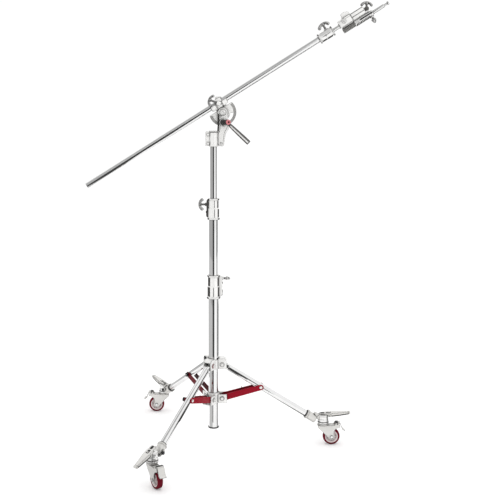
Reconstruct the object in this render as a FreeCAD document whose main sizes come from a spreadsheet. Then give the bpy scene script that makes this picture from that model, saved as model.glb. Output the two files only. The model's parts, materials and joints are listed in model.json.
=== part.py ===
"""Wheeled boom stand: a three-section column on a folding tripod with casters, and a
counter-sliding boom on a tilting head.

Millimetres, +Z up. The origin is on the column's axis at floor level, and +X points
along the right-hand leg and towards the raised end of the boom.
"""
import FreeCAD, Part
import os
import re
import Sketcher
from math import cos, radians, sin
from FreeCAD import Placement, Rotation, Vector

SIZES = {
    # column
    "base_dia": 44.5, "base_wall": 1.6, "base_bottom": 80, "base_top": 732,
    "mid_dia": 40, "mid_wall": 1.6, "mid_bottom": 425, "mid_top": 1076,
    "top_dia": 30, "top_wall": 1.8, "top_bottom": 800, "top_end": 1404,
    "slip": 0.4, "play": 0.35,
    # riser collars
    "low_collar_bottom": 677, "low_collar_top": 780,
    "high_collar_bottom": 1027, "high_collar_top": 1118,
    "flange": 6,
    "screw_radius": 4.5,
    # tripod base
    "pivot_reach": 38, "hub_pivot_height": 378, "brace_pivot_height": 222,
    "leg_slope": 31.7, "leg_dia": 28.6, "leg_wall": 2, "leg_to_brace": 204,
    "brace_length": 180.3, "brace_rise": 15.7, "brace_plate": 3,
    "fork_gap": 14.9, "ring_radius": 26.4, "bolt_dia": 8,
    "tongue_half": 11, "tongue_end": 44, "socket_mouth": 446, "socket_length": 50,
    # feet
    "caster_reach": 495, "caster_trail": 38, "wheel_dia": 76, "wheel_width": 25,
    "rim_dia": 58, "barrel_dia": 48, "barrel_bottom": 108, "barrel_top": 141,
    "race_bottom": 99, "stem_dia": 12,
    "pedal_reach": 527, "pedal_height": 138, "pedal_rise": 4, "pedal_press": 20,
    "brake_reach": 558, "brake_height": 99,
    # boom head
    "clamp_bottom": 1341, "clamp_top": 1408, "tilt_x": 39, "tilt_z": 1486,
    "arm_half": 5, "boom_rise": 31.9, "boom_offset": 43.5, "boom_dia": 25.4,
    "boom_wall": 1.6, "boom_tail": -663, "boom_end": 556, "sleeve_radius": 22,
    "quadrant_radius": 58, "quadrant_front": 6, "quadrant_back": 11,
    "rim_inner": 46, "slot_inner": 33,
    "lever_x": 41.3, "lever_z": 1444, "screw_dia": 7,
    # boom end
    "end_collar_start": 502, "end_collar_end": 570, "rod_dia": 15.9,
    "rod_tail": 380, "rod_end": 640, "block_start": 603, "block_end": 723,
    "receiver_offset": 18.5, "receiver_start": 607, "receiver_end": 748,
    "pin_tail": 696, "pin_seat": 750, "pin_end": 825, "pin_dia": 15.9, "tail_dia": 15,
    "neck_dia": 10,
}
AZIMUTHS = {"right": 0, "rear": 120, "front": 240}
SWIVELS = {"right": 0, "rear": 60, "front": 60}
NUT_SIDES = {"right": 1, "rear": 1, "front": -1}
PRESSED = ("front",)
X, Y, Z = Vector(1, 0, 0), Vector(0, 1, 0), Vector(0, 0, 1)
NODES = []

doc = FreeCAD.newDocument("BoomStand")
sheet = doc.addObject("Spreadsheet::Sheet", "Sizes")
for row, (alias, size) in enumerate(SIZES.items(), 1):
    sheet.set(f"B{row}", str(size))
    sheet.setAlias(f"B{row}", alias)
doc.recompute()


# ---------------------------------------------------------------- helpers
def cells(text):
    """Point every size's name in an expression at its cell of the sheet."""
    return re.sub(r"[a-z][a-z_]*", lambda word: "Sizes." + word.group()
                  if word.group() in SIZES else word.group(), text)


def value_of(size):
    """The number that a size stands for: an expression over the sheet or a plain number."""
    return float(sheet.evalExpression(cells(size))) if isinstance(size, str) else float(size)


def bind(thing, field, size):
    """Set a field, and tie it to the sheet where the size is an expression."""
    if isinstance(size, str):
        thing.setExpression(field, cells(size))
    else:
        setattr(thing, field, size)


def place(thing, at, along=Z):
    """Put a primitive's own origin at a point, with its +Z along a direction."""
    thing.Placement = Placement(Vector(*[value_of(c) for c in at]), Rotation(Z, along))
    for axis, coordinate in zip("xyz", at):
        if isinstance(coordinate, str):
            thing.setExpression("Placement.Base." + axis, cells(coordinate))
    return thing


def cylinder(radius, length, at=(0, 0, 0), along=Z):
    rod = doc.addObject("Part::Cylinder", "Cylinder")
    bind(rod, "Radius", radius)
    bind(rod, "Height", length)
    return place(rod, at, along)


def across(radius, half, at=(0, 0, 0)):
    """A cylinder along Y, centred on y = 0."""
    return cylinder(radius, f"2 * ({half})", (at[0], f"-({half})", at[2]), Y)


def cone(radius_start, radius_end, length, at, along=Z):
    taper = doc.addObject("Part::Cone", "Cone")
    bind(taper, "Radius1", radius_start)
    bind(taper, "Radius2", radius_end)
    bind(taper, "Height", length)
    return place(taper, at, along)


def ball(radius, at):
    sphere = doc.addObject("Part::Sphere", "Ball")
    bind(sphere, "Radius", radius)
    return place(sphere, at)


def hexagon(flats, height, at, along=Z):
    """A hexagonal head or nut, given its width across flats."""
    prism = doc.addObject("Part::Prism", "Hexagon")
    prism.Polygon = 6
    bind(prism, "Circumradius", flats / 2 / cos(radians(30)))
    bind(prism, "Height", height)
    return place(prism, at, along)


def block(x, y, z):
    """A box between two coordinates on each axis."""
    box = doc.addObject("Part::Box", "Block")
    for field, (low, high) in zip(("Length", "Width", "Height"), (x, y, z)):
        bind(box, field, f"({high}) - ({low})")
    return place(box, (x[0], y[0], z[0]))


def joined(kind, field, things):
    combined = doc.addObject(kind, "Joined")
    setattr(combined, field, list(things))
    return combined


def fuse(*things):
    fusion = joined("Part::MultiFuse", "Shapes", things)
    fusion.Refine = True
    return fusion


def group(*things):
    """Separate solids kept in one node."""
    return joined("Part::Compound", "Links", things)


def cut(base, *tools):
    result = doc.addObject("Part::Cut", "Cut")
    result.Base = base
    result.Tool = tools[0] if len(tools) == 1 else fuse(*tools)
    result.Refine = True
    return result


def turn(thing, degrees):
    """Turn a piece about the column's axis."""
    thing.Placement = Placement(Vector(), Rotation(Z, degrees))
    return thing


def sketched(name, plane, corners):
    """A body with one closed outline of straight sides on one of its origin planes."""
    body = doc.addObject("PartDesign::Body", name)
    sketch = body.newObject("Sketcher::SketchObject", name + "Outline")
    support = [item for item in body.Origin.OriginFeatures if item.Role == plane][0]
    sketch.AttachmentSupport = (support, [""])
    sketch.MapMode = "FlatFace"
    points = [Vector(value_of(x), value_of(y), 0) for x, y in corners]
    count = len(points)
    for index in range(count):
        sketch.addGeometry(Part.LineSegment(points[index], points[(index + 1) % count]))
    for index in range(count):
        sketch.addConstraint(Sketcher.Constraint("Coincident", index, 2, (index + 1) % count, 1))
    for index, (corner, point) in enumerate(zip(corners, points)):
        for kind, size, number in zip(("DistanceX", "DistanceY"), corner, (point.x, point.y)):
            limit = sketch.addConstraint(Sketcher.Constraint(kind, -1, 1, index, 1, number))
            if isinstance(size, str):
                sketch.setExpression(f"Constraints[{limit}]", cells(size))
    return body, sketch


def plate(name, corners, thickness, plane="XZ_Plane", symmetric=True):
    """A flat piece: an outline given a thickness, to both sides or upwards only."""
    body, sketch = sketched(name, plane, corners)
    pad = body.newObject("PartDesign::Pad", name + "Pad")
    pad.Profile = sketch
    pad.SideType = "Symmetric" if symmetric else "One side"
    bind(pad, "Length", thickness)
    return body


def turned(name, corners):
    """A round piece about Z: an outline of (radius, height) corners swept through a turn."""
    body, sketch = sketched(name, "XZ_Plane", corners)
    sweep = body.newObject("PartDesign::Revolution", name + "Turn")
    sweep.Profile = sketch
    sweep.ReferenceAxis = (sketch, ["V_Axis"])
    sweep.Angle = 360
    return body


def finish(thing, label, placement=None):
    """Name a sub-part, put it in its place and list it for export."""
    thing.Label = label
    if placement is not None:
        thing.Placement = placement
    NODES.append(thing)
    return thing


def at_azimuth(side):
    return Placement(Vector(), Rotation(Z, AZIMUTHS[side]))


def caster_frame(side):
    """The leg's frame turned by the caster's swivel angle about its upright stem."""
    stem = Vector(SIZES["caster_reach"], 0, 0)
    return (at_azimuth(side) * Placement(stem, Rotation(Z, SWIVELS[side]))
            * Placement(-stem, Rotation()))


def leg_frame(side):
    """Origin at the leg's hub pivot, +X down along the leg."""
    pivot = Vector(SIZES["pivot_reach"], 0, SIZES["hub_pivot_height"])
    return at_azimuth(side) * Placement(pivot, Rotation(Y, SIZES["leg_slope"]))


def brace_frame(side):
    """Origin at the brace's collar pivot, +X up along the brace."""
    pivot = Vector(SIZES["pivot_reach"], 0, SIZES["brace_pivot_height"])
    return at_azimuth(side) * Placement(pivot, Rotation(Y, -SIZES["brace_rise"]))


def boom_frame(along=0, up=0, toward=0, lean=0):
    """The tilt pivot's frame: +X along the boom, +Z square to it, moved and leant back."""
    tilt = Placement(Vector(SIZES["tilt_x"], 0, SIZES["tilt_z"]), Rotation(Y, -SIZES["boom_rise"]))
    return tilt * Placement(Vector(along, toward, up), Rotation(Y, -lean))


# ---------------------------------------------------------------- column
def tube(label, dia, wall, bottom, top, *rings):
    shell = cut(cylinder(f"{dia} / 2", f"{top} - {bottom}", (0, 0, bottom)),
                cylinder(f"{dia} / 2 - {wall}", f"{top} - {bottom} + 2", (0, 0, f"{bottom} - 1")))
    finish(fuse(shell, *rings) if rings else shell, label)


def base_end_ring():
    """The rolled ring round the base tube's lower end."""
    return cut(cylinder("base_dia / 2 + 2.2", 6, (0, 0, "base_bottom")),
               cylinder("base_dia / 2 - base_wall", 8, (0, 0, "base_bottom - 1")))


def riser_collar(label, bottom, top, step, lower_bore, upper_bore, radii, pad, handle_height):
    """A cast collar: two flanges, a stepped barrel, and a clamp bar down one side.

    radii are those of the lower flange, lower barrel, upper barrel and upper flange;
    pad is the side of the clamp bar, the reach of its face and its half width.
    """
    low_flange, low_barrel, high_barrel, high_flange = radii
    side, reach, half = pad
    near, far = sorted((side * 12, side * reach))
    boss, socket = 6, 14
    body = fuse(cylinder(low_flange, "flange", (0, 0, bottom)),
                cylinder(low_barrel, f"{step} - {bottom}", (0, 0, bottom)),
                cylinder(high_barrel, f"{top} - {step}", (0, 0, step)),
                cylinder(high_flange, "flange", (0, 0, f"{top} - flange")),
                block((near, far), (-half, half), (f"{bottom} + 9", f"{top} - 1")),
                cylinder(8, boss, (side * reach, 0, handle_height), X * side),
                cylinder(5.5, 3, (side * reach, 0, f"{bottom} + 32"), X * side))
    finish(cut(body,
               cylinder(lower_bore, f"{step} - {bottom} + 1", (0, 0, f"{bottom} - 1")),
               cylinder(upper_bore, f"{top} - {step} + 2", (0, 0, f"{step} - 1")),
               cylinder("screw_radius + play", socket + 1, (side * (reach + boss - socket), 0, handle_height),
                        X * side)), label)


def t_handle(label, stem, placement, spin=0):
    """A T-shaped clamp screw: its stem runs up +Z and its wings bow back towards the clamp."""
    bow, section, spread = 25, 5.2, 55
    arc = doc.addObject("Part::Torus", "Wings")
    arc.Radius1 = bow
    arc.Radius2 = section
    arc.Angle3 = 2 * spread
    arc.Placement = Placement(Vector(0, 0, stem - bow), Rotation(X, 90) * Rotation(Z, 90 - spread))
    tip_reach = bow * sin(radians(spread))
    tip_height = stem - bow + bow * cos(radians(spread))
    grip = fuse(cylinder("screw_radius", stem), cylinder(7, 14, (0, 0, stem - 10)), arc,
                ball(section, (tip_reach, 0, tip_height)), ball(section, (-tip_reach, 0, tip_height)))
    finish(grip, label, placement * Placement(Vector(), Rotation(Z, spin)))


def column():
    tube("base_tube", "base_dia", "base_wall", "base_bottom", "base_top", base_end_ring())
    tube("mid_riser_tube", "mid_dia", "mid_wall", "mid_bottom", "mid_top")
    tube("top_riser_tube", "top_dia", "top_wall", "top_bottom", "top_end")
    low_handle, high_handle = 766, 1092
    riser_collar("lower_riser_collar", "low_collar_bottom", "low_collar_top", "base_top",
                 "base_dia / 2", "mid_dia / 2 + slip", (30, 26.5, 24.5, 27.5),
                 (1, 38.5, 8), low_handle)
    riser_collar("upper_riser_collar", "high_collar_bottom", "high_collar_top", "mid_top",
                 "mid_dia / 2", "top_dia / 2 + slip", (26.5, 24, 21.3, 24.5),
                 (-1, 31, 7), high_handle)
    t_handle("lower_collar_handle", 37, Placement(Vector(31.5, 0, low_handle), Rotation(Z, X)), 75)
    t_handle("upper_collar_handle", 37, Placement(Vector(-24, 0, high_handle), Rotation(Z, -X)), 15)


# ---------------------------------------------------------------- tripod base
def clevis_ring(label, ring, bore, corners, outer, slot, pivot_height):
    """A ring round the column with three forked lugs; the slot opens each lug for its arm."""
    low, high = ring
    pieces = [cylinder("ring_radius", high - low, (0, 0, low))]
    for azimuth in AZIMUTHS.values():
        hole = across("bolt_dia / 2", outer + 2, ("pivot_reach", 0, pivot_height))
        pieces.append(turn(cut(plate("Lug", corners, 2 * outer), block(*slot), hole), azimuth))
    finish(cut(fuse(*pieces), cylinder(bore, high - low + 60, (0, 0, low - 20))), label)


def pivot_bolts(label, height, half):
    """Three hexagon bolts with their nuts, one across each lug."""
    bolts = []
    for azimuth in AZIMUTHS.values():
        bolt = fuse(across("bolt_dia / 2", half + 8, ("pivot_reach", 0, height)),
                    hexagon(13, 5.5, ("pivot_reach", -half, height), -Y),
                    hexagon(13, 6.5, ("pivot_reach", half, height), Y))
        bolts.append(turn(bolt, azimuth))
    finish(group(*bolts), label)


def tripod_rings():
    hub_outer, collar_outer = 19.8, 22.6
    clevis_ring("leg_hub", (358, 400), "base_dia / 2 + slip",
                [(16, 358), (58, 358), (58, 398), (51, 405), (16, 405)], hub_outer,
                (("ring_radius", 70), ("-fork_gap", "fork_gap"), (340, 400)), "hub_pivot_height")
    clevis_ring("brace_collar", (200, 247), "base_dia / 2",
                [(15, 200), (60, 200), (60, 234), (53, 240), (15, 240)], collar_outer,
                (("ring_radius", 70), (-18.5, 18.5), (204, 260)), "brace_pivot_height")
    pivot_bolts("hub_pivot_bolts", "hub_pivot_height", hub_outer)
    pivot_bolts("collar_pivot_bolts", "brace_pivot_height", collar_outer)


def leg_tube(side):
    socket_depth = "socket_mouth + socket_length - 2"
    tongue = fuse(block((0, "tongue_end"), (-14, 14), ("-tongue_half", "tongue_half")),
                  across("tongue_half", 14))
    shell = cylinder("leg_dia / 2", f"{socket_depth} - tongue_end / 2", ("tongue_end / 2", 0, 0), X)
    hollow = cylinder("leg_dia / 2 - leg_wall", f"{socket_depth}", ("tongue_end", 0, 0), X)
    finish(cut(fuse(shell, tongue), hollow, across("bolt_dia / 2 + play", 20),
               across("bolt_dia / 2 + play", 20, ("leg_to_brace", 0, 0))),
           "leg_tube_" + side, leg_frame(side))


def foot_socket(side):
    """Casting that grips the leg's end and carries the caster's upright barrel."""
    down_leg = Vector(cos(radians(SIZES["leg_slope"])), 0, -sin(radians(SIZES["leg_slope"])))
    pivot = Vector(SIZES["pivot_reach"], 0, SIZES["hub_pivot_height"])
    mouth = pivot + down_leg * SIZES["socket_mouth"]
    ear_low = mouth + down_leg * 12
    body = fuse(cylinder(18.5, "socket_length", tuple(mouth), down_leg),
                cylinder(21, 8, tuple(mouth), down_leg),
                block((444, "caster_reach"), (-13, 13), (112, 141)),
                cylinder("barrel_dia / 2", "barrel_top - barrel_bottom",
                         ("caster_reach", 0, "barrel_bottom")),
                cylinder("barrel_dia / 2 + 1.5", "barrel_bottom - race_bottom",
                         ("caster_reach", 0, "race_bottom")),
                place(block((0, 22), (0, 9), (-8, 8)), (ear_low.x - 6, 16, ear_low.z - 2)),
                block((512, "pedal_reach"), (-9, 9), ("pedal_height - 6.5", "pedal_height + 6.5")),
                across(6.5, 9, ("pedal_reach", 0, "pedal_height")))
    leg_space = cylinder("leg_dia / 2", "socket_length - 2", tuple(mouth), down_leg)
    finish(cut(body, leg_space,
               cylinder("stem_dia / 2 + play", 38, ("caster_reach", 0, "race_bottom - 1")),
               block((519.5, 540), (-5, 5), (120, 150)),
               across(3.35, 12, ("pedal_reach", 0, "pedal_height"))),
           "foot_socket_" + side, at_azimuth(side))
    screw_at = (ear_low.x + 5, 25, ear_low.z - 2)
    finish(fuse(hexagon(13, 6, screw_at, Y), cylinder(7.5, 1.5, screw_at, Y)),
           "foot_clamp_screw_" + side, at_azimuth(side))


def pedal(side):
    """Tapered channel that rocks on the foot socket's two ears."""
    outline = [(-49, -13), (-22, -17), (8, -17), (84, -8.5), (84, 8.5), (8, 17), (-22, 17), (-49, 13)]
    hollow = [(-60, -14.5), (8, -14.5), (81, -6.2), (81, 6.2), (8, 14.5), (-60, 14.5)]
    channel = plate("PedalChannel", outline, 15, "XY_Plane", symmetric=False)
    inside = plate("PedalHollow", hollow, 12.5, "XY_Plane", symmetric=False)
    lift = Placement(Vector(0, 0, -4), Rotation())
    channel.Placement = lift
    inside.Placement = Placement(Vector(0, 0, -4.01), Rotation())
    shape = fuse(cut(channel, inside, block((-60, -6), (-30, 30), (-10, 8.49)),
                     block((-22, 2), (-6, 6), (0, 20))),
                 across(6, 8.5, (84, 0, 4)), across(3, 16))
    lean = -SIZES["pedal_rise"] + (SIZES["pedal_press"] if side in PRESSED else 0)
    seat = Placement(Vector(SIZES["pedal_reach"], 0, SIZES["pedal_height"]), Rotation(Y, lean))
    finish(shape, "foot_pedal_" + side, at_azimuth(side) * seat)


def caster(side):
    axle_x = "caster_reach + caster_trail"
    axle = (axle_x, 0, "wheel_dia / 2")
    cheek = [(471, 92), (546, 92), (550, 104), (565, 104), (570, 92), (571, 82), (553, 68),
             (547, 34), (540, 25), (526, 25), (519, 32), (492, 62), (471, 82)]
    fork_half, cheek_inner = 17, 14.5
    fork = fuse(cut(plate("Cheeks", cheek, 2 * fork_half),
                    block((460, 580), (-cheek_inner, cheek_inner), (20, 88.5)),
                    block((547, 580), (-cheek_inner, cheek_inner), (80, 110))),
                cylinder("barrel_dia / 2", "race_bottom - play - 92", ("caster_reach", 0, 92)),
                cylinder("stem_dia / 2", "barrel_top - 12 - 92", ("caster_reach", 0, 92)))
    finish(cut(fork, across("bolt_dia / 2", 20, axle),
               across(2.85, 20, ("brake_reach", 0, "brake_height"))),
           "caster_fork_" + side, caster_frame(side))
    finish(fuse(across("bolt_dia / 2", fork_half + 5, axle),
                hexagon(13, 5, (axle_x, -fork_half, axle[2]), -Y),
                hexagon(13, 5, (axle_x, fork_half, axle[2]), Y)),
           "caster_axle_" + side, caster_frame(side))
    tyre_half = value_of("wheel_width / 2")
    radius, rim = value_of("wheel_dia / 2"), value_of("rim_dia / 2")
    tread = [(rim, -11), (rim, 11), (rim + 4, tyre_half), (radius - 1, 9.5), (radius, 5),
             (radius, -5), (radius - 1, -9.5), (rim + 4, -tyre_half)]
    core = [("bolt_dia / 2 + play", -13.8), (11, -13.8), (11, -4), (24, -4), (24, -11), (rim, -11),
            (rim, 11), (24, 11), (24, 4), (11, 4), (11, 13.8), ("bolt_dia / 2 + play", 13.8)]
    seat = Placement(Vector(value_of(axle_x), 0, radius), Rotation(X, 90))
    finish(turned("WheelCore", core), "wheel_core_" + side, caster_frame(side) * seat)
    finish(turned("WheelTyre", tread), "wheel_tyre_" + side, caster_frame(side) * seat)
    tab = [(-3, -4), (11, -4), (32, -45), (37, -43), (14, 1.5), (0, 4.5)]
    brake = fuse(plate("BrakeTab", tab, 24), across(4.5, 13.8), across(2.5, fork_half))
    seat = Placement(Vector(SIZES["brake_reach"], 0, SIZES["brake_height"]), Rotation())
    finish(brake, "brake_tab_" + side, caster_frame(side) * seat)


def brace(side):
    """Two flat bars joined by a small bridge, with the leg between them."""
    outer = "fork_gap + brace_plate"
    bar = fuse(plate("BraceBar", [(0, -11), (12, -14), ("brace_length", -12.5),
                                  ("brace_length", 12.5), (12, 14), (0, 11)], f"2 * ({outer})"),
               across(11, outer), across(12.5, outer, ("brace_length", 0, 0)))
    pair = cut(bar, block((-20, "brace_length + 20"), ("-fork_gap", "fork_gap"), (-20, 20)))
    bridged = fuse(pair, block((82, 98), ("-fork_gap - 1", "fork_gap + 1"), (3, 6)),
                   block((95, 98), (2, "fork_gap + 1"), (3, 19)))
    finish(cut(bridged, across("bolt_dia / 2 + play", 30),
               across("bolt_dia / 2 + play", 30, ("brace_length", 0, 0))),
           "brace_" + side, brace_frame(side))
    studs = []
    for direction in (-1, 1):
        face = f"{direction} * ({outer})"
        nut = direction == NUT_SIDES[side]
        studs.append(fuse(cylinder("bolt_dia / 2", "brace_plate", ("brace_length", face, 0),
                                   Y * -direction),
                          cylinder(7, 10 if nut else 3.5, ("brace_length", face, 0), Y * direction)))
    finish(group(*studs), "brace_bolts_" + side, brace_frame(side))


# ---------------------------------------------------------------- boom head
def pivot_bracket():
    arm = plate("Arm", [(10, "clamp_bottom"), (42, "clamp_bottom"), (53, 1399), (66, 1417),
                        (64, 1440), (59.5, "tilt_z"), (20, "tilt_z"), (21, "clamp_top"),
                        (10, "clamp_top")], "2 * arm_half")
    body = fuse(arm, across(20.4, "arm_half", ("tilt_x", 0, "tilt_z")),
                cylinder("top_dia / 2 + 4", "clamp_top - clamp_bottom", (0, 0, "clamp_bottom")),
                block((-35, -12), (-9, 9), (1344, 1405)),
                cylinder(17, 9, ("lever_x", 0, "lever_z"), -Y),
                cylinder(13, 9, ("tilt_x", 0, "tilt_z"), -Y))
    finish(cut(body, cylinder("top_dia / 2 + slip", 90, (0, 0, "clamp_bottom - 10")),
               block((-40, 0), (-1, 1), (1330, 1420)),
               across("screw_dia / 2 + play", 20, ("lever_x", 0, "lever_z")),
               across(6, 20, ("tilt_x", 0, "tilt_z")),
               *[across(3.5, 20, (-24, 0, height)) for height in (1354, 1392)]), "pivot_bracket")


def bracket_bolts():
    """Two clamp bolts, and the large bolt that the boom tilts on."""
    bolts = [fuse(across(3.5, 15, (-24, 0, height)), hexagon(11, 5, (-24, -9, height), -Y),
                  hexagon(11, 5.5, (-24, 9, height), Y)) for height in (1354, 1392)]
    tilt = fuse(cylinder(6, 27, ("tilt_x", -9, "tilt_z"), Y),
                cylinder(10.5, 5, ("tilt_x", -9, "tilt_z"), -Y),
                hexagon(17, 6, ("tilt_x", "quadrant_back + 1", "tilt_z"), Y))
    finish(group(*bolts, tilt), "bracket_bolts")


def tilt_quadrant():
    """Rather more than half a disc under the boom, with a curved slot for the clamp screw."""
    chord, weld_low, weld_high = 17, -20, 30
    disc = cylinder("quadrant_radius", "quadrant_back - quadrant_front",
                    (0, "quadrant_front", 0), Y)
    above = block((-70, 70), (0, 20), (chord, 80))
    web = block((weld_low, weld_high), ("quadrant_front", "quadrant_back"), (chord - 5, 30))
    rim = cut(cylinder("quadrant_radius", "quadrant_back - quadrant_front + 0.5",
                       (0, "quadrant_front - 0.5", 0), Y),
              cylinder("rim_inner", 30, (0, -5, 0), Y), above)
    slot = doc.addObject("Part::Cylinder", "SlotSector")
    slot.Radius = value_of("rim_inner")
    slot.Height = 30
    slot.Angle = 115
    slot.Placement = Placement(Vector(0, 20, 0), Rotation(X, 90) * Rotation(Z, -150))
    window = cut(slot, cylinder("slot_inner", 60, (0, -20, 0), Y))
    sleeve_space = cylinder("sleeve_radius", 200, (-100, 0, "boom_offset"), X)
    finish(cut(fuse(cut(disc, above), rim, web), window, sleeve_space,
               cylinder("6 + play", 40, (0, -10, 0), Y)), "tilt_quadrant", boom_frame())


SLEEVE_SCREW = {"along": 6, "up": 40, "toward": -27, "lean": 38}


def boom_sleeve():
    """Split saddle round the boom: three ribs below, a strap and a pinch screw above."""
    axis = "boom_offset"
    ribs = [cylinder("sleeve_radius", 21.5, (start, 0, axis), X) for start in (-33, -7, 19)]
    saddle = cut(fuse(cylinder("sleeve_radius - 2", 77, (-35, 0, axis), X), *ribs),
                 block((-40, -6), (-30, 30), (axis, 80)), block((22, 50), (-30, 30), (axis, 80)))
    lug = plate("StrapLug", [(-4, 50), (6, 73), (30, 60), (22, 50)], 16)
    lean = radians(SLEEVE_SCREW["lean"])
    up_screw = Vector(-sin(lean), 0, cos(lean))
    foot = Vector(SLEEVE_SCREW["along"], SLEEVE_SCREW["toward"], SLEEVE_SCREW["up"])
    boss = cylinder(8, 18, tuple(foot - up_screw * 8), up_screw)
    web = block((-5, 14), (SLEEVE_SCREW["toward"], -10), (32, 46))
    shape = cut(fuse(saddle, lug, boss, web),
                cylinder("boom_dia / 2 + slip", 200, (-100, 0, axis), X),
                cylinder("screw_radius + play", 60, tuple(foot - up_screw), up_screw))
    finish(shape, "boom_sleeve", boom_frame())
    t_handle("sleeve_handle", 44.5, boom_frame(SLEEVE_SCREW["along"], SLEEVE_SCREW["up"],
                                             SLEEVE_SCREW["toward"], SLEEVE_SCREW["lean"]))


def tilt_lever():
    """Clamp lever: a screw through the arm and the slot, a cranked hub and a long grip."""
    crank = Vector(20, -37, 1.2)
    start = Vector(SIZES["lever_x"], -15, SIZES["lever_z"])
    end = start + crank
    grip_root = start + crank * 0.72
    grip_tip = Vector(147, -46, 1360)
    grip = grip_tip - grip_root
    body = fuse(cylinder(15.5, 5.6, ("lever_x", -9.4, "lever_z"), -Y),
                cylinder(11.5, crank.Length, tuple(start), crank),
                cone(6, 9.5, grip.Length, tuple(grip_root), grip),
                ball(9.5, tuple(grip_tip)),
                cylinder("screw_dia / 2", 27, ("lever_x", -10, "lever_z"), Y),
                hexagon(17, 6, ("lever_x", "quadrant_back + 0.6", "lever_z"), Y))
    finish(body, "tilt_lever")
    finish(cone(10.8, 8.5, 5, tuple(end), crank), "lever_cap")


# ---------------------------------------------------------------- boom
def boom():
    axis = "boom_offset"
    finish(cut(cylinder("boom_dia / 2", "boom_end - boom_tail", ("boom_tail", 0, axis), X),
               cylinder("boom_dia / 2 - boom_wall", "boom_end - boom_tail + 2",
                        ("boom_tail - 1", 0, axis), X)), "boom_tube", boom_frame())
    length = "end_collar_end - end_collar_start"
    handle_at = 547
    body = fuse(cylinder(19.5, length, ("end_collar_start", 0, axis), X),
                cylinder(21.7, 5, ("end_collar_start", 0, axis), X),
                cylinder(21.7, 5, ("end_collar_end - 5", 0, axis), X),
                cylinder(9, 23, (handle_at, 0, axis)))
    finish(cut(body, cylinder("boom_dia / 2", "boom_end - end_collar_start + 1",
                              ("end_collar_start - 1", 0, axis), X),
               cylinder("rod_dia / 2 + slip", 80, ("boom_end - 1", 0, axis), X),
               cylinder("screw_radius + play", 20, (handle_at, 0, f"{axis} + 14"))),
           "boom_end_collar", boom_frame())
    t_handle("boom_end_handle", 32, boom_frame(handle_at, SIZES["boom_offset"] + 15))
    lead = 2
    finish(fuse(cylinder("rod_dia / 2", f"rod_end - rod_tail - {lead}", ("rod_tail", 0, axis), X),
                cone("rod_dia / 2", f"rod_dia / 2 - {lead / 2}", lead,
                     (f"rod_end - {lead}", 0, axis), X)), "extension_rod", boom_frame())


def boom_end_head():
    axis = "boom_offset"
    receiver = "receiver_offset"
    split = 661
    knob_x, knob_z = 734, 46
    bulk = fuse(block(("block_start", split), (-13, 13), (33.5, 64.5)),
                block((split, "block_end"), (-11, 11), (31, 64)),
                block((split + 4, "block_end - 6"), (-9, 9), (24, 32)),
                block((612, split), (-9, 9), (24, 34)),
                across(9, 11, (knob_x, 0, knob_z)),
                block((715, knob_x), (-11, 11), (knob_z - 9, knob_z + 9)),
                block((625, 664), (-4, 4), (60, 78)), across(11, 4, (640, 0, 74)),
                across(8, 4, (655, 0, 73)),
                cylinder(8.5, 2, (627, -13, 53), -Y), cylinder(3.5, 4, (627, -13, 53), -Y))
    grooves = [block((split - 1, "block_end + 1"), (face, face + 2), (46, 47.5)) for face in (-12, 10)]
    spaces = (cylinder("rod_dia / 2 + slip", "rod_end - block_start + 3",
                       ("block_start - 1", 0, axis), X),
              cylinder(13.4, 200, (split, 0, receiver), X),
              cylinder(12, 100, (600, 0, receiver), X))
    lean = radians(34)
    knob_bore = cylinder("screw_radius + play", 30, (knob_x, 0, knob_z), Vector(sin(lean), 0, cos(lean)))
    finish(cut(bulk, *grooves, *spaces, knob_bore), "boom_end_block", boom_frame())
    ribs = [cylinder(12, 3, (f"receiver_start + {6 * rib}", 0, receiver), X) for rib in range(9)]
    barrel = fuse(cylinder(10.8, f"{split} - receiver_start + 1", ("receiver_start", 0, receiver), X),
                  *ribs, cylinder(13.4, f"receiver_end - {split}", (split, 0, receiver), X),
                  cylinder(9, 17, (738, 0, receiver), -Z))
    finish(cut(barrel, cylinder("rod_dia / 2 + slip", 80, ("pin_tail - 2", 0, receiver), X),
               block((692, 744), (-20, 0), ("receiver_offset + 1", "receiver_offset + 4")),
               cylinder("screw_radius + play", 20, (738, 0, f"{receiver} - 9"), -Z)),
           "pin_receiver", boom_frame())
    t_handle("head_handle", 25, boom_frame(knob_x + 0.6, knob_z + 0.8, 0, -34))
    down = boom_frame(738, SIZES["receiver_offset"] - 10.5) * Placement(Vector(), Rotation(X, 180))
    t_handle("receiver_handle", 27, down, 90)
    neck_start, neck_end = 803, 819
    finish(fuse(cylinder("tail_dia / 2", "pin_seat - pin_tail", ("pin_tail", 0, receiver), X),
                cylinder("pin_dia / 2", f"{neck_start} - pin_seat", ("pin_seat", 0, receiver), X),
                cylinder("neck_dia / 2", neck_end - neck_start, (neck_start, 0, receiver), X),
                cylinder("pin_dia / 2", f"pin_end - {neck_end}", (neck_end, 0, receiver), X)),
           "baby_pin", boom_frame())


# ---------------------------------------------------------------- build, check, write
column()
tripod_rings()
for leg_side in AZIMUTHS:
    leg_tube(leg_side)
    foot_socket(leg_side)
    pedal(leg_side)
    caster(leg_side)
    brace(leg_side)
pivot_bracket()
bracket_bolts()
tilt_quadrant()
boom_sleeve()
tilt_lever()
boom()
boom_end_head()
doc.recompute()

for thing in doc.Objects:
    if "Invalid" in thing.State or "Error" in thing.State:
        raise RuntimeError(f"{thing.Name} ({thing.Label}) failed: {thing.State}")
for node in NODES:
    if node.Shape.isNull() or not node.Shape.isValid():
        raise RuntimeError(f"{node.Label} has no valid shape")

os.makedirs("parts", exist_ok=True)
for node in NODES:
    node.Shape.exportStep(f"parts/{node.Label}.step")
    print(f"{node.Label:26s} solids {len(node.Shape.Solids)}  volume {node.Shape.Volume / 1000:9.2f} cm3")
print(len(NODES), "nodes")
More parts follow.
